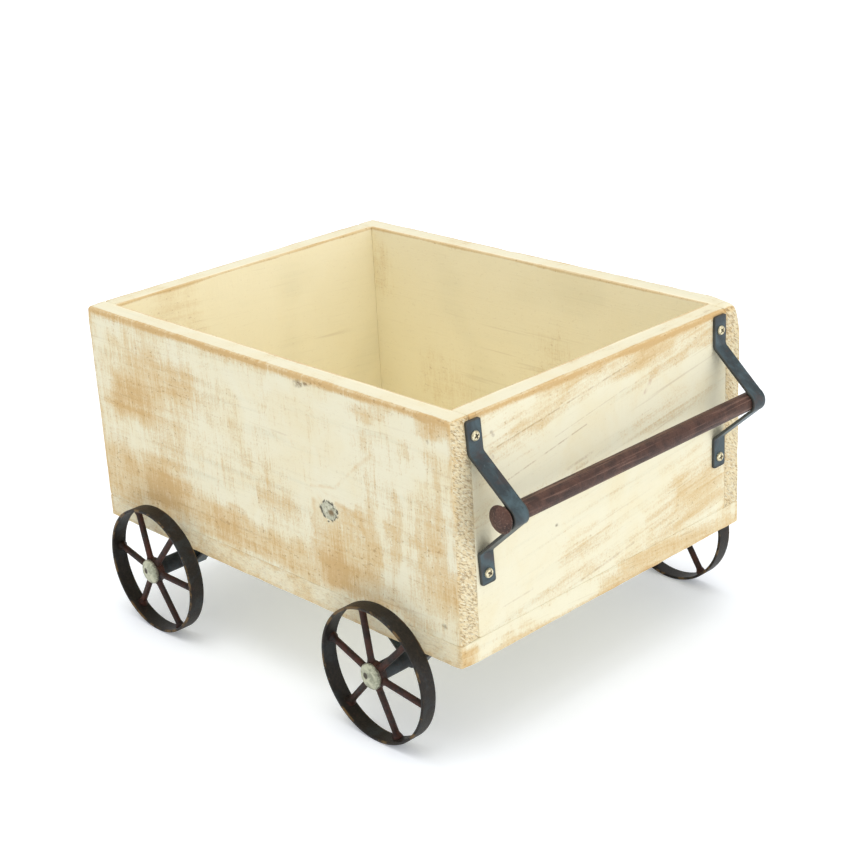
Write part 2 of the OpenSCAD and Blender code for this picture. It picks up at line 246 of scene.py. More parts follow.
class Shader:
    """Builds one material's nodes. Every method returns an output socket."""

    def __init__(self, name):
        self.material = bpy.data.materials.new(name)
        self.material.use_nodes = True
        self.tree = self.material.node_tree
        self.surface = self.tree.nodes["Principled BSDF"]
        self.place = self.add("ShaderNodeTexCoord").outputs["Object"]

    def add(self, kind, inputs=None, **settings):
        made = self.tree.nodes.new(kind)
        for key, value in settings.items():
            setattr(made, key, value)
        for key, value in (inputs or {}).items():
            self.set(made.inputs[key], value)
        return made

    def set(self, socket, value):
        """value is a socket, a number, some numbers or a hex colour."""
        if isinstance(value, bpy.types.NodeSocket):
            self.tree.links.new(value, socket)
        else:
            socket.default_value = srgb(value) if isinstance(value, str) else value

    def math(self, operation, a, b=0.0, clamp=False):
        made = self.add("ShaderNodeMath", {0: a, 1: b}, operation=operation)
        made.use_clamp = clamp
        return made.outputs[0]

    def total(self, *values):
        out = values[0]
        for value in values[1:]:
            out = self.math("ADD", out, value)
        return out

    def times(self, a, b):
        return self.math("MULTIPLY", a, b)

    def sway(self, value, strength):
        """strength times how far a noise is above its middle."""
        return self.times(self.math("SUBTRACT", value, 0.5), strength)

    def vector(self, operation, a, b):
        return self.add("ShaderNodeVectorMath", {0: a, 1: b}, operation=operation).outputs[0]

    def length(self, vector):
        return self.add("ShaderNodeVectorMath", {0: vector}, operation="LENGTH").outputs["Value"]

    def step(self, value, low, high, out_low=0.0, out_high=1.0):
        inputs = {"Value": value, "From Min": low, "From Max": high}
        inputs |= {"To Min": out_low, "To Max": out_high}
        made = self.add("ShaderNodeMapRange", inputs, interpolation_type="SMOOTHSTEP")
        return made.outputs["Result"]

    def stretch(self, scale, place=None):
        return self.vector("MULTIPLY", place or self.place, scale)

    def noise(self, scale, detail=3.0, rough=0.55, warp=0.0, shift=0.0, place=None):
        """scale is features a metre, one number or one an axis."""
        scale = tuple(scale) if hasattr(scale, "__len__") else (scale,) * 3
        place = self.vector("ADD", self.stretch(scale, place), (shift, shift * 0.7, shift * 1.3))
        inputs = {"Vector": place, "Scale": 1.0}
        inputs |= {"Detail": detail, "Roughness": rough, "Distortion": warp}
        return self.add("ShaderNodeTexNoise", inputs).outputs["Fac"]

    def mix(self, factor, a, b):
        made = self.add("ShaderNodeMix", data_type="RGBA")
        self.set(made.inputs[0], factor)
        self.set(made.inputs[6], a)
        self.set(made.inputs[7], b)
        return made.outputs[2]

    def distance(self, centre, scale):
        """Distance in metres from a centre, each axis counted scale times."""
        return self.length(self.stretch(scale, self.vector("SUBTRACT", self.place, centre)))

    def segment(self, start, end):
        """Distance in metres from the straight line between two places."""
        start, run = Vector(start), Vector(end) - Vector(start)
        away = self.vector("SUBTRACT", self.place, start)
        inputs = {0: away, 1: run / run.length_squared}
        along = self.add("ShaderNodeVectorMath", inputs, operation="DOT_PRODUCT").outputs["Value"]
        share = self.math("MULTIPLY", along, 1.0, clamp=True)
        reach = self.add("ShaderNodeVectorMath", {0: run, "Scale": share}, operation="SCALE")
        return self.length(self.vector("SUBTRACT", away, reach.outputs[0]))

    def turn(self, degrees):
        """Turns the place that the textures are read at, about the X axis."""
        inputs = {"Vector": self.place, "Axis": (1, 0, 0), "Angle": math.radians(degrees)}
        return self.add("ShaderNodeVectorRotate", inputs).outputs[0]

    def masks(self):
        made = self.add("ShaderNodeAttribute", attribute_name="masks")
        split = self.add("ShaderNodeSeparateColor", {0: made.outputs["Color"]})
        return [split.outputs[0], split.outputs[1], split.outputs[2], made.outputs["Alpha"]]

    def bump(self, height, depth):
        made = self.add("ShaderNodeBump", {"Height": height, "Distance": depth, "Strength": 1.0})
        return made.outputs[0]

    def finish(self, colour, roughness, normal=None, **constants):
        self.set(self.surface.inputs["Base Color"], colour)
        self.set(self.surface.inputs["Roughness"], roughness)
        if normal is not None:
            self.set(self.surface.inputs["Normal"], normal)
        for key, value in constants.items():
            self.surface.inputs[key.replace("_", " ")].default_value = value
        return self.material


# ---------------------------------------------------------------- wood

PAINT = "E9E3C8"
PAINT_WARM = "E6D9B2"
PAINT_GREY = "D9D6BC"
BARE = "D8BF90"
BARE_WARM = "D3B27A"
EDGE_TONE = "C8A268"
BARE_DARK = "9A7444"
# Paint inside the box: its own warmer tone, made brighter as painted light because the inner walls get
# less light
INSIDE_PAINT_AND_LIGHT = "FAF1D2"
STAIN = "B9B492"
DIRT = "5F4A2E"

# The knot in the right side board, in mm from the front end and above the box's underside
KNOT_BACK = 123
KNOT_UP = 80


def on_side(back, up):
    """A place on the right side's face, from its front end and the box's underside, in mm."""
    return (BOX_HI[0] - back * MM, BOX_LO[1], BOX_LO[2] + up * MM)


def on_front(across, up):
    """A place on the front end's face, from its right edge and the box's underside, in mm."""
    return (BOX_HI[0], BOX_LO[1] + across * MM, BOX_LO[2] + up * MM)


# Single marks on the boards: from, to, half width in mm, strength and colour
SIDE_MARKS = [
    (on_side(148, 167.4), on_side(143, 168.6), 1.9, 0.90, "6E512C"),
    (on_side(138, 169.8), on_side(133, 171.2), 1.5, 0.80, "6E512C"),
    (on_side(21, 157), on_side(21, 156.6), 1.0, 0.75, DIRT),
    (on_side(16, 28), on_side(14, 28.5), 1.3, 0.60, DIRT),
    (on_side(116, 88), on_side(95, 85), 1.6, 0.50, BARE_WARM),
    (on_side(95, 85), on_side(88, 74), 2.0, 0.45, BARE_WARM),
    (on_side(138, 84), on_side(141, 44), 1.8, 0.45, BARE_WARM),
    (on_side(140, 95), on_side(114, 100), 1.1, 0.35, BARE_WARM),
    (on_side(114, 100), on_side(92, 121), 1.0, 0.35, BARE_WARM),
    (on_side(92, 121), on_side(76, 133), 1.3, 0.30, BARE_WARM),
    (on_side(300, 36), on_side(180, 38), 0.7, 0.25, BARE_DARK),
]
FRONT_MARKS = [
    (on_front(34, 145), on_front(182, 165), 0.45, 0.42, BARE_DARK),
    (on_front(50, 120), on_front(128, 134), 0.40, 0.45, BARE_DARK),
    (on_front(96, 135), on_front(172, 148), 0.30, 0.25, BARE_DARK),
    (on_front(108, 108), on_front(134, 112), 0.9, 0.30, BARE_DARK),
    (on_front(112, 104), on_front(128, 106), 0.6, 0.25, BARE_DARK),
    (on_front(116, 20), on_front(176, 28), 0.8, 0.28, BARE_DARK),
    (on_front(40, 31), on_front(70, 33), 0.5, 0.22, BARE_DARK),
    (on_front(36, 158), on_front(38, 155), 0.9, 0.55, "6B3A2E"),
    (on_front(34.5, 143), on_front(36, 140), 1.2, 0.60, "7A3B2A"),
    (on_front(95, 71), on_front(95.6, 71), 0.9, 0.65, DIRT),
    (on_front(190, 138), on_front(196, 145), 1.2, 0.35, "A86A55"),
]


def wood_material(name, grain, marks=(), knot=None, tilt=0.0, end_strength=1.0, sawn=1.0):
    """Whitewash worn through to bare pine. grain is the axis that the board's fibres run along.

    sawn is how far the wear follows saw marks across the grain rather than the grain.
    """
    s = Shader(name)
    wear, inner, end_grain, stain = s.masks()
    tilted = s.turn(tilt)

    def run(along, across):
        """Features a metre along the grain and across it."""
        scale = [across, across, across]
        scale[grain] = along
        return scale

    streak = s.noise(run(8, 150), 4, 0.6, 0.5, 0.0, tilted)
    fibre = s.noise(run(26, 760), 3, 0.65, 0.0, 3.1, tilted)
    bands = s.noise(run(62, 7), 3, 0.6, 0.3, 5.3)
    ridges = s.noise(run(360, 34), 3, 0.6, 0.0, 9.7)
    strokes = s.noise(run(880, 70), 3, 0.65, 0.0, 21.0)
    cloud = s.noise(26, 5, 0.62, 0.5, 1.7)
    speck = s.noise(620, 3, 0.7, 0.0, 4.2)
    big = s.noise(9, 2, 0.5, 0.0, 8.8)

    # Where the paint is gone: the mask's level, broken up by saw bands, grain and specks
    breakup = s.total(
        s.sway(bands, 0.85 * sawn),
        s.sway(ridges, 0.70 * sawn),
        s.sway(strokes, 1.00 * sawn),
        s.sway(streak, 1.60 - 1.10 * sawn),
        s.sway(cloud, 1.00),
        s.sway(speck, 1.00),
    )
    calm = s.step(inner, 0.0, 1.0, 1.0, 0.40)
    level = s.total(wear, s.times(breakup, calm))
    worn = s.step(level, 0.18, 0.80)
    deep = s.step(level, 0.72, 1.25)

    paint = s.mix(s.step(cloud, 0.35, 0.75, 0.0, 0.6), PAINT, PAINT_WARM)
    paint = s.mix(s.step(streak, 0.50, 0.80, 0.0, 0.5), paint, PAINT_GREY)
    # Inside the box the paint is warmer and brighter: partly its own tone, partly painted light
    paint = s.mix(s.times(inner, 0.75), paint, INSIDE_PAINT_AND_LIGHT)
    wood = s.mix(s.step(streak, 0.35, 0.75), BARE, BARE_WARM)
    colour = s.mix(s.times(worn, 0.72), paint, wood)
    colour = s.mix(s.times(deep, 0.70), colour, EDGE_TONE)
    dash = s.times(s.step(fibre, 0.58, 0.80), s.step(level, 0.15, 0.60, 0.22, 1.0))
    colour = s.mix(s.times(dash, 0.42), colour, BARE_DARK)
    crumb = s.step(s.noise(run(300, 520), 2, 0.6, 0.0, 15.0), 0.62, 0.70)
    crumb = s.times(crumb, s.step(level, 0.2, 0.7, 0.12, 0.8))
    colour = s.mix(s.times(crumb, 0.60), colour, BARE_DARK)

    colour, pores = add_end_grain(s, colour, end_grain, end_strength, grain)

    # Thin grain lines and soft grey stains
    line = s.noise(run(5, 190), 2, 0.5, 0.8, 12.6, tilted)
    lines = s.times(s.step(line, 0.66, 0.75), s.step(big, 0.45, 0.65))
    colour = s.mix(s.times(lines, s.step(inner, 0.0, 1.0, 0.30, 0.16)), colour, BARE_DARK)
    colour = s.mix(s.times(stain, s.step(streak, 0.2, 0.7, 0.35, 0.9)), colour, STAIN)

    height = s.total(
        s.times(bands, 0.25),
        s.times(ridges, 0.45),
        s.times(fibre, 0.35),
        s.times(speck, 0.30),
        s.times(worn, -0.45),
        s.times(pores, -0.6),
    )
    wave = s.sway(s.noise(300, 2, 0.5, 0.0, 2.2), 5.0 * MM)
    patchy = s.step(s.noise(120, 4, 0.65, 0.4, 19.0), 0.38, 0.58, 0.10, 1.0)
    for start, end, half_width, strength, tone in marks:
        away = s.total(s.segment(start, end), s.times(wave, 0.20 * half_width))
        mark = s.step(away, half_width * 2.0 * MM, half_width * 0.2 * MM, 0.0, strength)
        mark = s.times(mark, patchy)
        colour = s.mix(s.times(mark, s.step(speck, 0.30, 0.50, 0.45, 1.0)), colour, tone)
    if knot is not None:
        colour, height = add_knot(s, knot, wave, colour, height)
    normal = s.bump(height, 0.5 * MM)
    rough = s.total(0.62, s.times(worn, 0.14), s.times(fibre, 0.12))
    return s.finish(colour, rough, normal, Specular_IOR_Level=0.2)


FLECK_TILT = 38


def add_end_grain(s, colour, mask, strength, grain):
    """Short slanting flecks, darker and paler than the cut end of the board."""
    turned = s.turn(FLECK_TILT)
    scale = [240, 240, 980]
    scale[grain] = 240
    dark = s.step(s.noise(scale, 3, 0.7, 0.4, 6.4, turned), 0.51, 0.62)
    pale = s.step(s.noise(scale, 3, 0.7, 0.4, 11.4, turned), 0.50, 0.62)
    broad = s.step(s.noise(55, 3, 0.6, 0.6, 3.4), 0.35, 0.65)
    bare = s.mix(s.times(broad, 0.6), BARE, PAINT_WARM)
    bare = s.mix(s.times(dark, 0.85), bare, BARE_DARK)
    bare = s.mix(s.times(pale, 0.90), bare, PAINT)
    amount = s.times(mask, 0.78 * strength)
    return s.mix(amount, colour, bare), s.times(dark, amount)


def add_knot(s, centre, wave, colour, height):
    """A sound grey knot with a broken dark ring, an off-centre eye and a worn halo."""
    from_knot = s.total(s.distance(centre, (0.86, 1, 1.0)), wave)
    face = s.step(from_knot, 7.6 * MM, 6.4 * MM)
    ring = s.times(s.step(from_knot, 5.6 * MM, 6.8 * MM), s.step(from_knot, 8.6 * MM, 7.2 * MM))
    crack = s.times(ring, s.step(s.noise(210, 3, 0.6, 0.0, 7.7), 0.46, 0.54))
    eye_centre = (centre[0] + 2.4 * MM, centre[1], centre[2] - 0.6 * MM)
    from_eye = s.total(s.distance(eye_centre, (0.8, 1, 1)), s.times(wave, 0.5))
    eye = s.step(from_eye, 3.4 * MM, 1.0 * MM)
    halo = s.step(s.noise(75, 3, 0.6, 0.6, 3.9), 0.40, 0.60)
    halo = s.times(s.step(from_knot, 18 * MM, 8 * MM), halo)
    mottle = s.step(s.noise(380, 3, 0.7, 0.5, 1.4), 0.40, 0.62)
    tone = s.mix(mottle, "CFCFBA", "9A9A84")
    colour = s.mix(s.times(halo, 0.40), colour, BARE)
    colour = s.mix(s.times(face, 0.9), colour, tone)
    colour = s.mix(s.times(eye, 0.85), colour, "7A6240")
    colour = s.mix(s.times(crack, 0.9), colour, "45443A")
    return colour, s.total(height, s.times(crack, -1.6), s.times(eye, -0.7))


# Worn patches, as (place along the face, height above the box's underside, half
# length, half height, strength), in millimetres. Along is counted from the front
# end on the sides and from the right side on the ends.
RIGHT_PATCHES = [
    (345, 107, 32, 16, 0.62), (300, 136, 38, 18, 0.42), (345, 45, 46, 22, 0.42),
    (284, 40, 60, 16, 0.46), (300, 78, 22, 40, 0.28), (200, 34, 60, 15, 0.46),
    (172, 68, 30, 14, 0.32), (126, 46, 16, 24, 0.52), (100, 50, 20, 30, 0.30),
    (97, 82, 14, 8, 0.30), (80, 70, 8, 34, 0.34), (58, 80, 7, 34, 0.34),
    (38, 66, 6, 44, 0.20), (18, 66, 16, 40, 0.42), (76, 163, 22, 6, 0.42),
    (20, 168, 12, 7, 0.62), (92, 34, 50, 12, 0.34), (78, 126, 22, 20, 0.26),
    (212, 98, 10, 16, 0.18), (375, 60, 16, 70, 0.24), (210, 22, 190, 5, 0.30),
    (196, 8, 190, 9, 0.22), (60, 144, 50, 10, 0.16), (270, 110, 90, 50, 0.12),
    (16, 110, 12, 60, 0.22), (330, 158, 60, 10, 0.18),
]
FRONT_PATCHES = [
    (130, 52, 28, 16, 0.24), (250, 62, 34, 16, 0.30), (235, 36, 48, 16, 0.34),
    (215, 8, 70, 9, 0.40), (60, 6, 24, 6, 0.20), (150, 94, 18, 9, 0.16), (4, 9, 8, 9, 0.60),
    (60, 140, 30, 14, 0.22), (210, 120, 40, 14, 0.16), (286, 90, 5, 90, 0.34),
    (120, 24, 60, 9, 0.18), (110, 158, 90, 9, 0.26), (225, 158, 60, 10, 0.30), (70, 100, 22, 14, 0.14),
]
LEFT_PATCHES = [
    (70, 60, 40, 18, 0.45), (160, 110, 36, 22, 0.34), (250, 40, 50, 16, 0.48),
    (330, 100, 28, 30, 0.44), (120, 30, 56, 12, 0.38), (365, 50, 18, 40, 0.34),
    (30, 120, 18, 40, 0.36), (215, 160, 60, 8, 0.34), (300, 140, 26, 14, 0.28),
    (210, 84, 14, 30, 0.26),
]
REAR_PATCHES = [
    (60, 70, 34, 20, 0.42), (150, 40, 50, 14, 0.42), (235, 100, 26, 28, 0.42),
    (110, 130, 34, 14, 0.30), (270, 46, 20, 34, 0.34), (180, 160, 50, 8, 0.36),
    (30, 130, 16, 30, 0.34),
]
PATCH_STRENGTH = 1.25
FACES = [
    # axis that the face looks along, side, axis that "along" runs on, patches
    (1, LO, 0, RIGHT_PATCHES),
    (1, HI, 0, LEFT_PATCHES),
    (0, HI, 1, FRONT_PATCHES),
    (0, LO, 1, REAR_PATCHES),
]
# Chips, as (distance from the front end, from the right side, above the underside), size and depth
CHIPS = [
    ((0, 14, 19), 4.0, 1.6), ((146, 0, 172), 5.0, 1.3), ((1, 1, 173), 6.0, 2.0),
    ((0, 3, 2), 6.0, 2.4), ((3, 297, 173), 12.0, 7.0), ((391, 2, 172), 5.0, 1.6),
    ((391, 298, 3), 6.0, 2.2), ((230, 300, 173), 5.0, 1.2), ((392, 120, 2), 5.0, 1.4),
]


def from_corner(points):
    """Distance from the front end, from the right side and above the underside."""
    back = BOX_HI[0] - points[:, 0]
    return np.stack([back, points[:, 1] - BOX_LO[1], points[:, 2] - BOX_LO[2]], axis=1)


def edge_distance(points):
    """How far each point is from the nearest outer edge of the whole box."""
    gaps = np.sort(np.minimum(np.abs(points - BOX_LO), np.abs(points - BOX_HI)), axis=1)
    return gaps[:, 1]


def inner_edge_distance(points):
    """How far each point is from the top inner edge that runs round the opening."""
    centre, half = (BOX_LO + BOX_HI) / 2, (BOX_HI - BOX_LO) / 2 - BOARD_T
    away = np.abs(points[:, :2] - centre[:2]) - half[:2]
    level = np.linalg.norm(np.maximum(away, 0), axis=1) + np.minimum(away.max(axis=1), 0)
    return np.hypot(level, BOX_HI[2] - points[:, 2])


def edge_radius(points, seed):
    """The rounding at each point: slight along the joints, worn and uneven on outer edges."""
    outer = smoothstep(7 * MM, 2 * MM, edge_distance(points))
    worn = 1.5 + 0.9 * field(points, 38, seed) + 0.5 * field(points, 150, seed + 1)
    radius = 0.45 + (np.clip(worn, 0.6, 3) - 0.45) * outer
    rim = smoothstep(5 * MM, 1 * MM, BOX_HI[2] - points[:, 2])
    radius = np.maximum(radius, rim * (1.0 + 0.35 * field(points, 60, seed + 2)))
    place = from_corner(points) / MM
    for centre, size, depth in CHIPS:
        away = np.linalg.norm(place - np.array(centre), axis=1)
        radius = radius + depth * smoothstep(size * 2, 0, away)
    return radius * MM


def patch_wear(points, place, seed):
    """Wear in soft, uneven patches on the box's four outer faces."""
    shift_along = 9 * field(points, 34, seed + 7) + 4 * field(points, 95, seed + 8)
    shift_up = 8 * field(points, 34, seed + 9) + 4 * field(points, 95, seed + 10)
    wear = np.zeros(len(points))
    for axis, side, run, patches in FACES:
        plane = (BOX_LO, BOX_HI)[side][axis]
        on_face = smoothstep(3 * MM, 0.5 * MM, np.abs(points[:, axis] - plane))
        for centre, up, half_l, half_h, strength in patches:
            wide = np.abs(place[:, run] + shift_along - centre) / half_l
            high = np.abs(place[:, 2] + shift_up - up) / half_h
            spread = (wide**3 + high**3) ** (1 / 3)  # between an ellipse and a rectangle
            wear = wear + on_face * smoothstep(1.45, 0.5, spread) * strength
    return PATCH_STRENGTH * wear


def wood_masks(points, grain, seed):
    """Wear, indoors, end grain and stain at each vertex."""
    place = from_corner(points) / MM
    height = (BOX_HI - BOX_LO)[2] / MM
    inside = np.ones(len(points))
    for axis in (0, 1):
        gap = np.minimum(points[:, axis] - BOX_LO[axis], BOX_HI[axis] - points[:, axis])
        inside = inside * smoothstep(0.75 * BOARD_T, 0.95 * BOARD_T, gap)
    inside = inside * smoothstep(FLOOR_T * 0.8, FLOOR_T * 0.98, points[:, 2] - BOX_LO[2])
    wear = 0.10 + 0.14 * field(points, 14, seed) + patch_wear(points, place, seed)
    # Handled edges: a band along the top, with a narrower and weaker one round the opening
    edge = edge_distance(points) / MM
    below = height - place[:, 2]
    top = smoothstep(12, 2, below)
    band = (5.5 + 2.0 * field(points, 20, seed + 3)) * (1 - 0.45 * smoothstep(1.5, 0.3, below))
    wear = wear + smoothstep(1, 0.35, edge / band) * (0.46 + 0.42 * top)
    # The strongest wear is a few millimetres below the top edge, with a paler rim above it
    low = 8.0 + 2.5 * field(points, 16, seed + 12)
    rub = smoothstep(0.4, 1.8, below) * smoothstep(1.35, 0.40, below / low) * (1 - inside)
    wear = wear + rub * (0.50 + 0.55 * field(points, (24, 24, 260), seed + 13))
    lip = 3.0 + 1.4 * field(points, 26, seed + 4)
    wear = wear + smoothstep(1, 0.3, inner_edge_distance(points) / MM / lip) * 0.72
    wear = wear + 0.26 * inside * smoothstep(0.05, 0.55, field(points, 11, seed + 6))
    run = points[:, grain]
    end = np.minimum(np.abs(run - BOX_LO[grain]), np.abs(run - BOX_HI[grain]))
    end_grain = smoothstep(0.8 * MM, 0.2 * MM, end)
    stain = 0.16 * smoothstep(0.35, 0.75, field(points, 17, seed + 5)) * inside
    return np.stack([np.clip(wear, 0, 1.3), inside, end_grain, np.clip(stain, 0, 1)], axis=1)


def make_board(name, grain, material, seed):
    lo, hi = corners(name)
    axes = [grid_axis(lo[n], hi[n], BOARD_STEP) for n in range(3)]
    verts, quads = box_shell(axes)
    masks = wood_masks(verts, grain, seed)
    radius = edge_radius(verts, seed)[:, None]
    core = np.clip(verts, lo + radius, hi - radius)
    out = verts - core
    length = np.linalg.norm(out, axis=1, keepdims=True)
    verts = core + out / np.maximum(length, 1e-9) * np.minimum(length, radius)
    board = add_mesh(name + "_worn", verts, quads, masks=masks)
    return dress(board, "cart", "pine", material, name)


def make_box():
    sides = wood_material("whitewashed_pine_side", 0)
    knotty = wood_material("whitewashed_pine_knotty", 0, SIDE_MARKS, on_side(KNOT_BACK, KNOT_UP))
    front = wood_material("whitewashed_pine_front", 1, FRONT_MARKS, tilt=-7, sawn=0.2)
    plain = wood_material("whitewashed_pine_end", 1, tilt=4, end_strength=0.35, sawn=0.5)
    make_board("bottom_board", 1, plain, 11)
    make_board("side_board_right", 0, knotty, 23)
    make_board("side_board_left", 0, sides, 37)
    make_board("end_board_front", 1, front, 41)
    make_board("end_board_rear", 1, plain, 59)


# ---------------------------------------------------------------- metals

def strap_material():
    """Worn slate paint over dark steel, browner along the edges, with soft pale streaks of painted
    highlight.
    """
    s = Shader("slate_strap")
    edge, _, _, _ = s.masks()
    cloud = s.noise(60, 4, 0.6, 0.5)
    fine = s.noise(520, 3, 0.65, 0.0, 2.0)
    highlight_streaks = s.noise((420, 420, 90), 3, 0.6, 0.0, 5.0)
    base = s.mix(s.step(cloud, 0.34, 0.70), "283236", "465A60")
    base = s.mix(s.step(fine, 0.52, 0.8, 0.0, 0.6), base, "22282B")
    rub = s.step(s.total(edge, s.sway(cloud, 1.2)), 0.55, 1.0)
    base = s.mix(s.times(rub, 0.65), base, "38342A")
    tinge = s.step(s.noise(48, 4, 0.65, 0.6, 7.4), 0.54, 0.66)
    base = s.mix(s.times(tinge, 0.45), base, "4A3833")
    # Soft pale streaks over the slate: a painted highlight
    base = s.mix(s.times(s.step(highlight_streaks, 0.60, 0.80), 0.16), base, "96A3A6")
    normal = s.bump(s.total(s.times(cloud, 0.5), s.times(fine, 0.35)), 0.35 * MM)
    rough = s.total(0.36, s.times(cloud, 0.16), s.times(fine, 0.12))
    return s.finish(base, rough, normal, Specular_IOR_Level=0.42)


def axle_material():
    """Dark steel with traces of slate paint and rust."""
    s = Shader("axle_steel")
    cloud = s.noise(70, 4, 0.6, 0.5)
    fine = s.noise(600, 3, 0.65, 0.0, 2.0)
    base = s.mix(s.step(cloud, 0.35, 0.65), "1D2124", "30383D")
    base = s.mix(s.step(fine, 0.56, 0.78, 0.0, 0.7), base, "4A2F22")
    normal = s.bump(s.total(s.times(cloud, 0.5), s.times(fine, 0.5)), 0.3 * MM)
    return s.finish(base, s.total(0.45, s.times(fine, 0.2)), normal, Specular_IOR_Level=0.3)


def bar_material():
    """Old rod: maroon-brown rust with long pale streaks and pits."""
    s = Shader("bar_rust")
    streak = s.noise((620, 14, 620), 4, 0.66, 0.1)
    cloud = s.noise(90, 4, 0.6, 0.4, 3.0)
    pit = s.noise(780, 3, 0.7, 0.0, 6.0)
    base = s.mix(s.step(cloud, 0.3, 0.7), "37241D", "56392D")
    base = s.mix(s.step(streak, 0.50, 0.72, 0.0, 0.62), base, "8A6A5C")
    base = s.mix(s.step(pit, 0.54, 0.74, 0.0, 0.75), base, "1E1410")
    normal = s.bump(s.total(s.times(streak, 0.8), s.times(pit, 0.5)), 0.4 * MM)
    rough = s.total(0.42, s.times(pit, 0.22))
    return s.finish(base, rough, normal, Specular_IOR_Level=0.35)


def wheel_material(name, rust):
    """Dark iron. rust is how far the reddish brown takes over."""
    s = Shader(name)
    edge, _, _, _ = s.masks()
    cloud = s.noise(80, 4, 0.62, 0.6)
    fine = s.noise(560, 4, 0.7, 0.0, 2.5)
    base = s.mix(s.step(fine, 0.35, 0.7), "14100C", "2A231B")
    slate = s.step(s.noise(44, 4, 0.6, 0.5, 9.1), 0.52, 0.64)
    base = s.mix(s.times(slate, 0.42), base, "2F383C")
    rusty = s.step(s.total(s.math("SUBTRACT", cloud, 0.5), rust), 0.32, 0.70)
    base = s.mix(s.times(rusty, 0.85), base, "4C271B")
    base = s.mix(s.times(s.step(fine, 0.60, 0.78), s.times(rusty, 0.7)), base, "7A4029")
    soot = s.step(s.noise(150, 4, 0.65, 0.5, 13.3), 0.50, 0.62)
    base = s.mix(s.times(soot, 0.55), base, "17110E")
    # Patchy golden lines along the rims' edges: a painted highlight
    edge_highlight = s.times(s.step(edge, 0.6, 1.0), s.step(cloud, 0.50, 0.62))
    base = s.mix(s.times(edge_highlight, 0.45), base, "8A6C3E")
    normal = s.bump(s.total(s.times(cloud, 0.5), s.times(fine, 0.6)), 0.4 * MM)
    rough = s.total(0.40, s.times(fine, 0.25))
    return s.finish(base, rough, normal, Specular_IOR_Level=0.28)


def cap_material():
    """Pale greenish paint with chipped rims and dark dirt in the pit."""
    s = Shader("cap_paint")
    pit, rim, _, _ = s.masks()
    cloud = s.noise(160, 4, 0.6, 0.5)
    fine = s.noise(700, 3, 0.7, 0.0, 4.0)
    base = s.mix(s.step(cloud, 0.40, 0.62), "BDBEA4", "8A8D78")
    chip = s.step(s.total(rim, s.sway(fine, 1.6)), 0.75, 1.0)
    base = s.mix(s.times(chip, 0.8), base, "4A4034")
    dirt = s.step(s.total(pit, s.sway(fine, 0.5)), 0.4, 0.75)
    base = s.mix(dirt, base, "4B4538")
    normal = s.bump(s.total(s.times(cloud, 0.6), s.times(fine, 0.4)), 0.3 * MM)
    return s.finish(base, s.total(0.35, s.times(fine, 0.2)), normal, Metallic=0.1)


def screw_material():
    """Pale plated screw, darker in its cross recess."""
    s = Shader("screw_plate")
    recess, _, _, _ = s.masks()
    fine = s.noise(900, 3, 0.7)
    base = s.mix(s.step(fine, 0.4, 0.7), "E8DFBE", "B7A97E")
    base = s.mix(s.step(recess, 0.25, 0.7, 0.0, 0.9), base, "2E2619")
    normal = s.bump(fine, 0.08 * MM)
    return s.finish(base, s.total(0.22, s.times(fine, 0.2)), normal, Metallic=0.7)


def nail_material():
    """Whitewash over the nails' heads, with a little rust showing."""
    s = Shader("nail_painted")
    fine = s.noise(700, 3, 0.7)
    base = s.mix(s.step(fine, 0.52, 0.75, 0.0, 0.6), PAINT_WARM, BARE_DARK)
    return s.finish(base, s.total(0.55, s.times(fine, 0.2)), s.bump(fine, 0.05 * MM))


# ---------------------------------------------------------------- straps

STRAP_CORNER_R = 0.55 * MM
STRAP_END_R = 1.8 * MM
END_STEPS = (0.15, 0.25, 0.4, 0.6, 0.8)  # short steps that an end's rounding needs, in mm
PLATE_STEPS = 4
ARM_STEPS = 5


def strap_line(standoff, arm, shoulder, plate, rod):
    """The strap's inner face as (along, out, heading), with the rod at (0, 0)."""
    arm, nose = math.radians(arm), math.radians(arm + shoulder)
    shoulder = math.radians(shoulder)
    bend = BEND_R + STRAP_T
    run = (standoff - bend * (1 - math.cos(nose)) + rod * math.cos(nose)) / math.sin(arm)
    half = (bend + rod) * math.sin(nose) + run * math.cos(arm)
    line = [(-half - plate, -standoff, 0.0)]

    def straight(length, steps=1):
        x, y, h = line[-1]
        for i in range(1, steps + 1):
            d = length * i / steps
            line.append((x + d * math.cos(h), y + d * math.sin(h), h))

    def turn(angle, radius):
        """Positive turns bend towards the outer face."""
        x, y, h = line[-1]
        side = 1 if angle > 0 else -1
        cx, cy = x - side * radius * math.sin(h), y + side * radius * math.cos(h)
        steps = max(2, round(abs(angle) / math.radians(6)))
        for i in range(1, steps + 1):
            g = h + angle * i / steps
            line.append((cx + side * radius * math.sin(g), cy - side * radius * math.cos(g), g))

    for d in END_STEPS:
        straight(d * MM)
    straight(plate - sum(END_STEPS) * MM, PLATE_STEPS)
    turn(arm, bend)
    straight(run, ARM_STEPS)
    turn(shoulder, bend)
    turn(-2 * nose, rod)
    turn(shoulder, bend)
    straight(run, ARM_STEPS)
    turn(arm, bend)
    straight(plate - sum(END_STEPS) * MM, PLATE_STEPS)
    for d in reversed(END_STEPS):
        straight(d * MM)
    return line


def strap_section(width):
    """The strip's section as (across, through), and how near an edge each point is."""
    half, r = width / 2, STRAP_CORNER_R
    right, left, far = half - r, r - half, STRAP_T - r
    points, near = [], []
    for x, y, start in ((right, r, -90), (right, far, 0), (left, far, 90), (left, r, 180)):
        points += arc(x, y, r, start)
        near += [1.0] * len(CORNER_STEPS)
        if start in (0, 180):
            side, level = (1, STRAP_T) if start == 0 else (-1, 0.0)
            points += [(side * half * share, level) for share in (0.74, 0.4, 0, -0.4, -0.74)]
            near += [0.25, 0.0, 0.0, 0.0, 0.25]
    return points, near


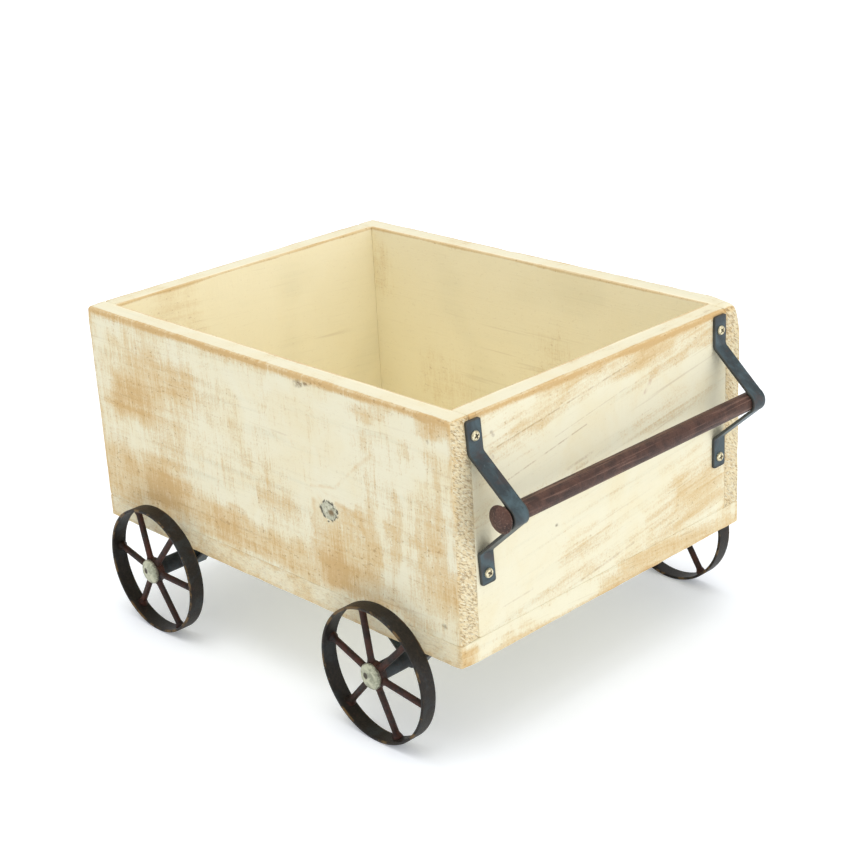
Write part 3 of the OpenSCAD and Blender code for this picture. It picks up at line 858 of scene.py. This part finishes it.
def make_strap(name, rod_centre, standoff, bend, turned, lean, material):
    """turned maps (along, out) to the world's X and Z."""
    line = strap_line(standoff, **bend)
    rings, masks = [], []
    travelled = [0.0]
    for a, b in zip(line, line[1:]):
        travelled.append(travelled[-1] + math.hypot(b[0] - a[0], b[1] - a[1]))
    for (x, y, h), s in zip(line, travelled):
        gap = min(s, travelled[-1] - s)
        cut = STRAP_END_R - math.sqrt(max(STRAP_END_R**2 - max(STRAP_END_R - gap, 0) ** 2, 0))
        section, near = strap_section(STRAP_W - 2 * cut)
        ring = []
        for across, through in section:
            along, out = x - through * math.sin(h), y + through * math.cos(h)
            wx, wz = turned(along, out)
            ring.append(rod_centre + np.array([wx, across - wz * math.tan(lean), wz]))
        rings.append(np.array(ring))
        end = 1.0 if gap < 1 * MM else 0.0
        masks += [(max(n, end), 0, 0, 1) for n in near]
    verts, faces = sweep_rings(rings)
    verts = verts + 0.04 * MM * np.stack([field(verts, 90, 5)] * 3, axis=1)
    strap = add_mesh(name + "_bent", verts, faces, masks=masks, sharp=50)
    return dress(strap, "cart", "strap_iron", material, name)


def handle_turned(along, out):
    return out, -along


def axle_turned(along, out):
    return -along, -out


def make_straps():
    material = strap_material()
    bar = centre_of("handle_bar")
    standoff = bar[0] - BOX_HI[0]
    for side, lean in (("right", RIGHT_STRAP_LEAN), ("left", 0.0)):
        name = "handle_strap_" + side
        rod = np.array([bar[0], centre_of(name)[1], bar[2]])
        make_strap(name, rod, standoff, HANDLE_BEND, handle_turned, lean, material)
    for end in ("front", "rear"):
        axle = centre_of("axle_" + end)
        for side in ("right", "left"):
            name = f"axle_strap_{end}_{side}"
            rod = np.array([axle[0], centre_of(name)[1], axle[2]])
            make_strap(name, rod, BOX_LO[2] - axle[2], AXLE_BEND, axle_turned, 0.0, material)


# ---------------------------------------------------------------- screws

SCREW_R = 3.5 * MM
SCREW_T = 2.2 * MM


SCREW_RINGS = 15
SCREW_SEGMENTS = 56


def screw_head(centre, out, up, turn):
    """A pan head with a tapered cross recess. out is the way it faces."""
    side = up.cross(out)
    verts, masks = [], []

    def place(r, a, height):
        return centre + side * (r * math.cos(a + turn)) + up * (r * math.sin(a + turn)) + out * height

    for i in range(SCREW_RINGS + 1):
        r = SCREW_R * (i / SCREW_RINGS) ** 0.85
        share = r / SCREW_R
        dome = SCREW_T * (1 - 0.30 * share**2 - 0.45 * share**9)
        half = 0.62 * MM * (1 - 0.25 * share)
        for a in circle(SCREW_SEGMENTS):
            arm = min(abs(r * math.cos(a)), abs(r * math.sin(a)))
            slot = float(smoothstep(half + 0.25 * MM, half - 0.05 * MM, arm))
            slot *= float(smoothstep(2.35 * MM, 1.75 * MM, r))
            verts.append(place(r, a, dome - slot * (1.25 * MM - 0.25 * r)))
            masks.append((slot, 0, 0, 1))
    for share, height in ((1.0, 0.15 * MM), (0.97, 0)):
        verts += [place(SCREW_R * share, a, height) for a in circle(SCREW_SEGMENTS)]
        masks += [NO_MASK] * SCREW_SEGMENTS
    faces = ring_faces(SCREW_RINGS + 3, SCREW_SEGMENTS)
    faces.append(tuple(range(len(verts) - SCREW_SEGMENTS, len(verts))))
    return verts, faces, masks


def make_screws():
    """All the heads that one CAD node holds are one piece."""
    material = screw_material()
    groups = (
        ("handle_screws", Vector((1, 0, 0)), Vector((0, 0, 1)), 1),
        ("axle_strap_screws", Vector((0, 0, -1)), Vector((1, 0, 0)), 2),
    )
    for name, out, up, seed in groups:
        verts, faces, masks = [], [], []
        for n, centre in enumerate(screw_places(name, out)):
            turn = math.radians(38 * n * seed + 22)
            v, f, m = screw_head(centre, out, up, turn)
            faces += [tuple(i + len(verts) for i in face) for face in f]
            verts += v
            masks += m
        piece = add_mesh(name + "_heads", verts, faces, masks=masks, sharp=60)
        dress(piece, "cart", "screw_metal", material, name)


def screw_places(name, out):
    """The middle of the underside of each head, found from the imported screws' own vertices."""
    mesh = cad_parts[name].data
    points = np.array([v.co for v in mesh.vertices])
    level = points @ np.array(out)
    rims = points[level > level.max() - SCREW_T - 0.1 * MM]
    places = []
    for p in rims:
        for group in places:
            if np.linalg.norm(p - group[0]) < 2.5 * SCREW_R:
                group.append(p)
                break
        else:
            places.append([p])
    base = level.max() - SCREW_T
    found = []
    for group in places:
        middle = (np.min(group, axis=0) + np.max(group, axis=0)) / 2
        found.append(Vector(middle + np.array(out) * (base - middle @ np.array(out))))
    return sorted(found, key=lambda v: (round(v.x, 3), round(v.y, 3), round(v.z, 3)))


# ---------------------------------------------------------------- handle bar

def make_bar():
    """The right end is hammered out into a head, and the left end is cut off plain."""
    lo, hi = corners("handle_bar")
    axis = ((lo[0] + hi[0]) / 2, 0, (lo[2] + hi[2]) / 2)
    head_r = (hi[0] - lo[0]) / 2 - 0.06 * MM
    outer, inner, tail = lo[1], lo[1] + BAR_HEAD_T, hi[1]
    profile = [(outer, TIP_R)]
    for share in (0.15, 0.3, 0.45, 0.6, 0.72, 0.83, 0.92, 0.98):
        profile.append((outer + BAR_DOME * share**2, head_r * share * 0.975))
    for depth, share in ((2.2, 1), (2.9, 0.985), (3.6, 0.93)):
        profile.append((outer + depth * MM, head_r * share))
    profile += [(inner - 0.3 * MM, head_r * 0.80), (inner, BAR_R * 1.03)]
    steps = 90
    for i in range(1, steps + 1):
        profile.append((inner + (tail - inner - 0.5 * MM) * i / steps, BAR_R))
    profile += [(tail - 0.15 * MM, BAR_R - 0.15 * MM), (tail, BAR_R - 0.5 * MM)]
    profile += [(tail, BAR_R * 0.5), (tail, TIP_R)]
    verts, faces = lathe(profile, 48, axis, 1, 0.04 * MM, 3)
    bar = add_mesh("push_bar", verts, faces, sharp=55)
    return dress(bar, "handle", "bar_iron", bar_material(), "handle_bar")


# ---------------------------------------------------------------- wheels

def wheel_side(wheel):
    """The way a wheel faces along Y: the left ones face +Y."""
    return 1 if wheel.endswith("left") else -1


def make_rim(wheel, material):
    lo, hi = corners(wheel + "_rim")
    outer, half_w, r = (hi[2] - lo[2]) / 2, (hi[1] - lo[1]) / 2, 0.5 * MM
    inner = outer - RIM_T
    left, right, high, low = half_w - r, r - half_w, outer - r, inner + r
    profile, edge = [], []
    for x, y, start in ((left, high, 0), (right, high, 90), (right, low, 180), (left, low, 270)):
        profile += arc(x, y, r, start)
        edge += [1.0] * len(CORNER_STEPS)
        if start in (0, 180):
            sign, level = (1, outer) if start == 0 else (-1, inner)
            profile += [(sign * half_w * share, level) for share in (0.6, 0, -0.6)]
            edge += [0.0] * 3
    segments = 128
    verts, faces = lathe(profile, segments, (0, 0, 0), wheel_side(wheel), closed=True)
    bent = 0.14 * MM * field(verts, 22, len(wheel)) + 0.05 * MM * field(verts, 140, 2)
    radius = np.hypot(verts[:, 0], verts[:, 2])[:, None]
    flat = verts * np.array([1, 0, 1])
    verts = verts - flat / radius * (np.abs(bent) + 0.02 * MM)[:, None]
    masks = [(e, 0, 0, 1) for e in edge for _ in range(segments)]
    rim = add_mesh(wheel + "_band", verts + (lo + hi) / 2, faces, masks=masks, sharp=50)
    return dress(rim, wheel + "_wheel", "wheel_iron", material, wheel + "_rim")


SPOKE_SEGMENTS = 20
# Rings of a spoke in mm from the hub and from the rim, close together at the welds
HUB_RINGS = [0, 0.5, 1.0, 1.6, 2.4, 3.4, 5]
RIM_RINGS = [5.2, 4.2, 3.2, 2.2, 1.4, 0.8, 0.35, 0]


def spoke_rings(start, end):
    """A round rod from start to end, with lumpy weld beads at both ends."""
    axis = (end - start).normalized()
    u = axis.cross(Vector((0, 1, 0))).normalized()
    v = axis.cross(u)
    length = (end - start).length
    places = HUB_RINGS + list(np.linspace(8, length / MM - 7, 8))
    places += [length / MM - d for d in RIM_RINGS]
    rings = []
    for place in places:
        p = place * MM
        foot = smoothstep(5.0 * MM, 0.2 * MM, length - p) * 1.5 * MM
        root = smoothstep(2.6 * MM, 0.2 * MM, p) * 0.55 * MM
        ring = []
        for b in circle(SPOKE_SEGMENTS):
            d = u * math.cos(b) + v * math.sin(b)
            q = start + axis * p
            lump = noise.noise((q + d * SPOKE_R) * 420) * (0.08 * MM + 0.45 * foot + 0.25 * root)
            ring.append(q + d * (SPOKE_R - 0.05 * MM + foot + root + lump))
        rings.append(np.array(ring))
    return rings


def make_spokes(wheel, material):
    """Round spokes that lean inboard from the hub to the rim."""
    lo, hi = corners(wheel + "_rim")
    hub_lo, hub_hi = corners(wheel + "_hub")
    hub_r, rim_r = (hub_hi[2] - hub_lo[2]) / 2, (hi[2] - lo[2]) / 2 - RIM_T
    centre = (lo + hi) / 2
    root = Vector((centre[0], (hub_lo[1] + hub_hi[1]) / 2, centre[2]))
    foot = root - Vector((0, wheel_side(wheel) * SPOKE_DISH, 0))
    verts, faces = [], []
    for n in range(SPOKE_COUNT):
        a = math.radians(SPOKE_TURN[wheel] + 360 / SPOKE_COUNT * n)
        ray = Vector((math.cos(a), 0, math.sin(a)))
        rings = spoke_rings(root + ray * (hub_r - 0.6 * MM), foot + ray * (rim_r + 0.35 * MM))
        v_new, f_new = sweep_rings(rings)
        faces += [tuple(i + len(verts) for i in f) for f in f_new]
        verts += [tuple(p) for p in v_new]
    spokes = add_mesh(wheel + "_rods", verts, faces, masks=[NO_MASK] * len(verts))
    return dress(spokes, wheel + "_wheel", "wheel_iron", material, wheel + "_spokes")


def make_hub(wheel, material):
    lo, hi = corners(wheel + "_hub")
    outer, half, r = (hi[2] - lo[2]) / 2, (hi[1] - lo[1]) / 2, 0.7 * MM
    bevel = 0.4 * MM
    profile = arc(half - r, outer - r, r, 0) + arc(r - half, outer - r, r, 90)
    profile += [(-half, HUB_BORE_R + bevel), (bevel - half, HUB_BORE_R)]
    profile += [(half - bevel, HUB_BORE_R), (half, HUB_BORE_R + bevel)]
    verts, faces = lathe(profile, 64, (0, 0, 0), wheel_side(wheel), closed=True)
    masks = [NO_MASK] * len(verts)
    hub = add_mesh(wheel + "_boss", verts + (lo + hi) / 2, faces, masks=masks, sharp=50)
    return dress(hub, wheel + "_wheel", "wheel_iron", material, wheel + "_hub")


CAP_RINGS = 18
CAP_SEGMENTS = 56
CAP_PIT = (-2.6 * MM, 0.6 * MM)


def make_caps():
    """Domed caps, each with a pit a little off its middle. They are one piece, as in the CAD."""
    lo, hi = corners("axle_caps")
    cap_r = (hi[2] - lo[2]) / 2
    verts, faces, masks = [], [], []
    for wheel in WHEELS:
        centre, side = centre_of(wheel + "_rim"), wheel_side(wheel)
        outer_y = hi[1] if side > 0 else lo[1]
        base, turns = len(verts), circle(CAP_SEGMENTS, -side)
        for i in range(CAP_RINGS + 1):
            r = cap_r * (i / CAP_RINGS) ** 0.8
            share = r / cap_r
            dome = CAP_T * (1 - 0.42 * share**2 - 0.30 * share**10)
            for a in turns:
                x, z = r * math.cos(a), r * math.sin(a)
                to_pit = math.hypot(x - CAP_PIT[0], z - CAP_PIT[1])
                dent = 1.1 * MM * float(smoothstep(3.0 * MM, 0.8 * MM, to_pit))
                bump = 0.10 * MM * noise.noise(Vector((x, z, len(wheel) * MM)) * 330)
                y = outer_y - side * (CAP_T - dome + dent - min(bump, 0))
                verts.append((centre[0] + x, y, centre[2] + z))
                masks.append((float(smoothstep(3.4 * MM, 1.4 * MM, to_pit)), share**4, 0, 1))
        foot_y = outer_y - side * CAP_T
        for a in turns:
            verts.append((centre[0] + cap_r * math.cos(a), foot_y, centre[2] + cap_r * math.sin(a)))
            masks.append((0, 1, 0, 1))
        faces += ring_faces(CAP_RINGS + 2, CAP_SEGMENTS, base)
        faces.append(tuple(range(len(verts) - CAP_SEGMENTS, len(verts))))
    caps = add_mesh("axle_end_caps", verts, faces, masks=masks)
    return dress(caps, "cart", "cap_paint", cap_material(), "axle_caps")


def make_wheels():
    iron = wheel_material("wheel_iron_dark", 0.25)
    rusty = wheel_material("wheel_iron_rusty", 0.52)
    for wheel in WHEELS:
        make_rim(wheel, iron)
        make_spokes(wheel, rusty)
        make_hub(wheel, rusty)
    make_caps()


NAIL_SET = 0.6 * MM


def make_nails():
    """The CAD nails with their heads driven a little below the worn faces of the boards."""
    material = nail_material()
    for name, axis in (("corner_nails", 1), ("bottom_nails", 2)):
        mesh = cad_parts[name].data
        verts = np.array([v.co for v in mesh.vertices])
        verts[:, axis] = np.clip(verts[:, axis], BOX_LO[axis] + NAIL_SET, BOX_HI[axis] - NAIL_SET)
        faces = [tuple(p.vertices) for p in mesh.polygons]
        nails = add_mesh(name + "_set", verts, faces, smooth=False)
        dress(nails, "cart", "nail_steel", material, name)


def dress_cad_nodes():
    """The plain turned and hidden parts keep their CAD shapes."""
    steel = axle_material()
    for name in ("axle_front", "axle_rear", "axle_welds"):
        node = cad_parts[name]
        node.data.materials.clear()
        node.data.materials.append(steel)


# ---------------------------------------------------------------- stage, light and camera

FLOOR_REACH = 40
FLOOR_GLOW = 0.20
WORLD_LIGHT = 0.78
# Soft lights far off, as (name, direction towards the light, strength, spread in degrees)
SOFT_LIGHTS = [
    ("overhead", (0.05, -0.04, 1.0), 1.15, 45),
    ("front_window", (1.0, 0.12, 0.03), 1.15, 50),
]


def make_stage():
    plane = [(x * FLOOR_REACH, y * FLOOR_REACH, 0) for x, y in ((-1, -1), (1, -1), (1, 1), (-1, 1))]
    floor = add_mesh("floor", plane, [(0, 1, 2, 3)], smooth=False, closed=False)
    s = Shader("pale_floor")
    tone = s.mix(s.noise(3, 2, 0.5), (0.90, 0.92, 0.95, 1), (0.92, 0.94, 0.97, 1))
    glow = {"Emission_Color": (0.88, 0.93, 1.0, 1), "Emission_Strength": FLOOR_GLOW}
    floor.data.materials.append(s.finish(tone, 0.9, Specular_IOR_Level=0.0, **glow))
    world = bpy.data.worlds.new("studio")
    bpy.context.scene.world = world
    world.use_nodes = True
    background = world.node_tree.nodes["Background"]
    background.inputs["Color"].default_value = (1, 1, 1, 1)
    background.inputs["Strength"].default_value = WORLD_LIGHT


def make_lights():
    for name, towards, strength, spread in SOFT_LIGHTS:
        data = bpy.data.lights.new(name, "SUN")
        data.energy, data.angle = strength, math.radians(spread)
        light = add_object(name, data)
        light.rotation_euler = Vector(towards).to_track_quat("Z", "Y").to_euler()


CAMERA_AZIMUTH = math.radians(46.584)
CAMERA_ELEVATION = math.radians(21.696)
CAMERA_ROLL = math.radians(-3.186)
CAMERA_DISTANCE = 1.173841
CAMERA_AIM_RIGHT = -0.024583
CAMERA_AIM_UP = 0.161407
CAMERA_LENS = 75.99
SENSOR = 36
CLIP_START, CLIP_END = 0.01, 120


def make_camera():
    """Stands at the given angles from the box's near bottom corner, aimed a little above it."""
    a, e, r = CAMERA_AZIMUTH, CAMERA_ELEVATION, CAMERA_ROLL
    back = Vector((math.sin(a) * math.cos(e), -math.cos(a) * math.cos(e), math.sin(e)))
    level = Vector((math.cos(a), math.sin(a), 0))
    rise = back.cross(level)
    right = math.cos(r) * level + math.sin(r) * rise
    up = -math.sin(r) * level + math.cos(r) * rise
    corner = Vector((BOX_HI[0], BOX_LO[1], BOX_LO[2]))
    place = corner + right * CAMERA_AIM_RIGHT + up * CAMERA_AIM_UP + back * CAMERA_DISTANCE
    data = bpy.data.cameras.new("camera")
    data.lens, data.sensor_width = CAMERA_LENS, SENSOR
    data.clip_start, data.clip_end = CLIP_START, CLIP_END
    camera = add_object("camera", data)
    turn = Matrix((right, up, back)).transposed().to_4x4()
    camera.matrix_world = Matrix.Translation(place) @ turn
    bpy.context.scene.camera = camera


make_camera()
make_box()
make_straps()
make_screws()
make_bar()
make_wheels()
make_nails()
dress_cad_nodes()
make_stage()
make_lights()

scene = bpy.context.scene
scene.view_settings.view_transform = "Standard"
scene.cycles.use_denoising = True
